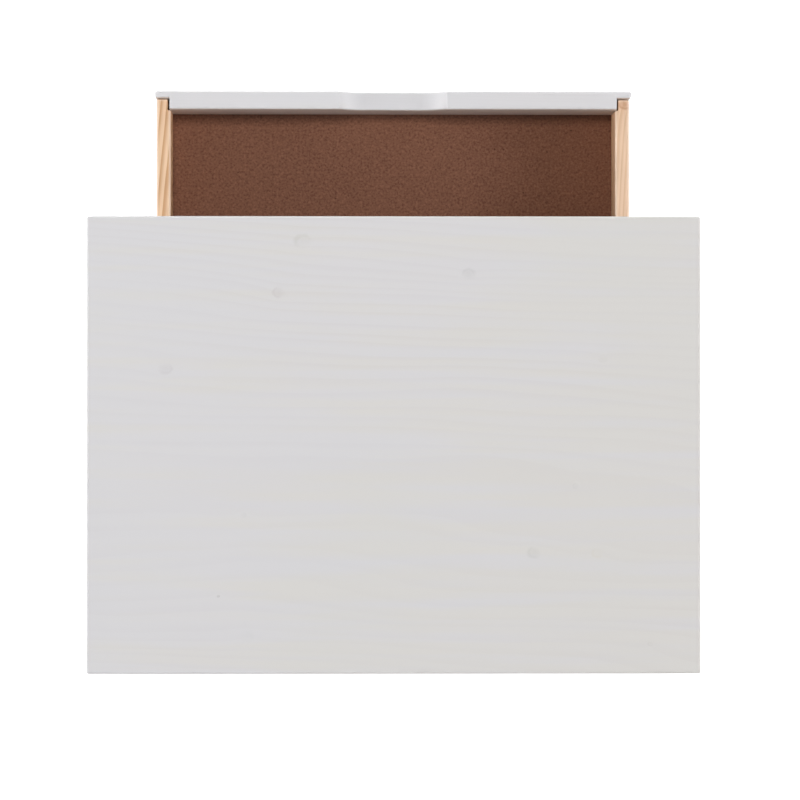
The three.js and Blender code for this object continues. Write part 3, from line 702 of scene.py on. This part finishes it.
# Places as shares of the side's height, and of the bottom row's half length.
FRONT_NAILS = (0.3, 0.55, 0.84)
BACK_NAILS = (0.36, 0.6, 0.86)
BOTTOM_NAILS = (-1.0, -0.5, 0.0, 0.5, 1.0)
BOTTOM_NAIL_INSET = 25 * MM  # of the row's last nails from the ends of the drawer's back


def add_nails(name, places, outward, steel):
    """Domed nail heads on a flat face of the drawer, each one a closed body."""
    across = outward.orthogonal().normalized()
    over = outward.cross(across)
    work = bmesh.new()
    for place in places:
        rings = []
        for share, height in NAIL_PROFILE:
            ring = []
            for i in range(NAIL_SIDES):
                angle = 2 * math.pi * i / NAIL_SIDES
                arm = across * math.cos(angle) + over * math.sin(angle)
                ring.append(work.verts.new(place + arm * (NAIL_RADIUS * share) + outward * height))
            rings.append(ring)
        for low, high in zip(rings, rings[1:]):
            for i in range(NAIL_SIDES):
                j = (i + 1) % NAIL_SIDES
                work.faces.new((low[i], low[j], high[j], high[i])).smooth = True
        work.faces.new(reversed(rings[0]))
        work.faces.new(rings[-1]).smooth = True
    mesh = bpy.data.meshes.new(name)
    work.to_mesh(mesh)
    work.free()
    mesh.materials.append(steel)
    piece = bpy.data.objects.new(name, mesh)
    bpy.context.scene.collection.objects.link(piece)
    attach(piece, "drawer")


def add_drawer_nails(steel):
    """Nails through the sides into the front and the back, and up through the bottom."""
    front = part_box("drawer_front")[1].y
    back_low, back_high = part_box("drawer_back")
    back_middle = (back_low + back_high) / 2
    for side, sign in (("left", -1), ("right", 1)):
        low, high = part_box("drawer_side_" + side)
        face = high.x if sign > 0 else low.x
        height = high.z - low.z
        rows = (((low.y + front) / 2, FRONT_NAILS), (back_middle.y, BACK_NAILS))
        places = [Vector((face, y, low.z + height * share)) for y, shares in rows for share in shares]
        add_nails("side_nails_" + side, places, Vector((sign, 0.0, 0.0)), steel)
    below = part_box("drawer_bottom")[0].z
    reach = back_high.x - BOTTOM_NAIL_INSET
    places = [Vector((reach * share, back_middle.y, below)) for share in BOTTOM_NAILS]
    add_nails("bottom_nails", places, Vector((0.0, 0.0, -1.0)), steel)


# ---------------------------------------------------------------- stage, light and camera


def add_floor():
    """A pale floor with a glow that only the camera sees."""
    mesh = bpy.data.meshes.new("floor")
    signs = ((-1, -1), (1, -1), (1, 1), (-1, 1))
    corners = [(x * FLOOR_HALF, y * FLOOR_HALF, 0.0) for x, y in signs]
    mesh.from_pydata(corners, [], [(0, 1, 2, 3)])
    floor = bpy.data.objects.new("floor", mesh)
    bpy.context.scene.collection.objects.link(floor)
    t = Tree("floor")
    t.finish(linear(FLOOR), FLOOR_ROUGHNESS, Emission_Color=WHITE)
    seen = t.nodes.new("ShaderNodeLightPath").outputs["Is Camera Ray"]
    t.put(t.shader.inputs["Emission Strength"], t.maths("MULTIPLY", seen, FLOOR_GLOW))
    mesh.materials.append(t.material)


def add_world():
    """A white studio: bright near the floor, dim overhead, and plain white to the camera."""
    world = bpy.data.worlds.new("studio")
    bpy.context.scene.world = world
    world.use_nodes = True
    nodes, links = world.node_tree.nodes, world.node_tree.links
    nodes.clear()
    light, seen = nodes.new("ShaderNodeBackground"), nodes.new("ShaderNodeBackground")
    seen.inputs["Strength"].default_value = SKY_SEEN
    for background in (light, seen):
        background.inputs["Color"].default_value = WHITE
    direction = nodes.new("ShaderNodeTexCoord")
    split = nodes.new("ShaderNodeSeparateXYZ")
    fade = nodes.new("ShaderNodeMapRange")
    fade.interpolation_type = "SMOOTHSTEP"
    for name, value in (
        ("From Min", 0.0),
        ("From Max", SKY_FADE),
        ("To Min", SKY_HORIZON),
        ("To Max", SKY_OVERHEAD),
    ):
        fade.inputs[name].default_value = value
    path = nodes.new("ShaderNodeLightPath")
    mix, output = nodes.new("ShaderNodeMixShader"), nodes.new("ShaderNodeOutputWorld")
    links.new(direction.outputs["Generated"], split.inputs[0])
    links.new(split.outputs["Z"], fade.inputs["Value"])
    links.new(fade.outputs[0], light.inputs["Strength"])
    links.new(path.outputs["Is Camera Ray"], mix.inputs[0])
    links.new(light.outputs[0], mix.inputs[1])
    links.new(seen.outputs[0], mix.inputs[2])
    links.new(mix.outputs[0], output.inputs[0])


def add_area_light(name, target, azimuth, elevation, distance, size, power, gloss):
    """A square softbox that lights either the gloss alone or all but the gloss."""
    data = bpy.data.lights.new(name, "AREA")
    data.shape = "SQUARE"
    data.size = size
    data.energy = power
    light = bpy.data.objects.new(name, data)
    bpy.context.scene.collection.objects.link(light)
    a, e = math.radians(azimuth), math.radians(elevation)
    towards = Vector((math.sin(a) * math.cos(e), -math.cos(a) * math.cos(e), math.sin(e)))
    light.location = target + towards * distance
    light.rotation_mode = "QUATERNION"
    light.rotation_quaternion = towards.to_track_quat("Z", "Y")
    light.visible_camera = False
    light.visible_glossy = gloss
    light.visible_diffuse = not gloss


def add_camera():
    """The photograph's camera, with the picture's top towards -Y."""
    low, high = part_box("seat_top")
    middle = (low + high) / 2
    data = bpy.data.cameras.new("camera")
    data.lens = CAMERA_LENS
    data.sensor_width = CAMERA_SENSOR
    data.clip_end = CAMERA_REACH
    camera = bpy.data.objects.new("camera", data)
    bpy.context.scene.collection.objects.link(camera)
    position = Vector((*(middle.xy + CAMERA_OFFSET), high.z + CAMERA_HEIGHT))
    aim = Vector((*(middle.xy + CAMERA_AIM), high.z))
    back = (position - aim).normalized()
    right = Vector((0.0, -1.0, 0.0)).cross(back).normalized()
    up = back.cross(right)
    turn = Matrix((right, up, back)).transposed()
    camera.matrix_world = Matrix.Translation(position) @ turn.to_4x4()
    bpy.context.scene.camera = camera


def set_view():
    scene = bpy.context.scene
    scene.view_settings.view_transform = "Standard"
    scene.view_settings.look = "None"
    scene.view_settings.exposure = 0.0
    scene.view_settings.gamma = 1.0


# ---------------------------------------------------------------- build

add_camera()
set_view()
add_world()
add_floor()
SEAT_MIDDLE = sum(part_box("seat_top"), Vector()) / 2
for lamp, settings in LAMPS.items():
    add_area_light(lamp, SEAT_MIDDLE, **settings, gloss=False)
for box, settings in BOXES.items():
    add_area_light(box, SEAT_MIDDLE, **settings, gloss=True)
add_drawer_nails(dress_all())
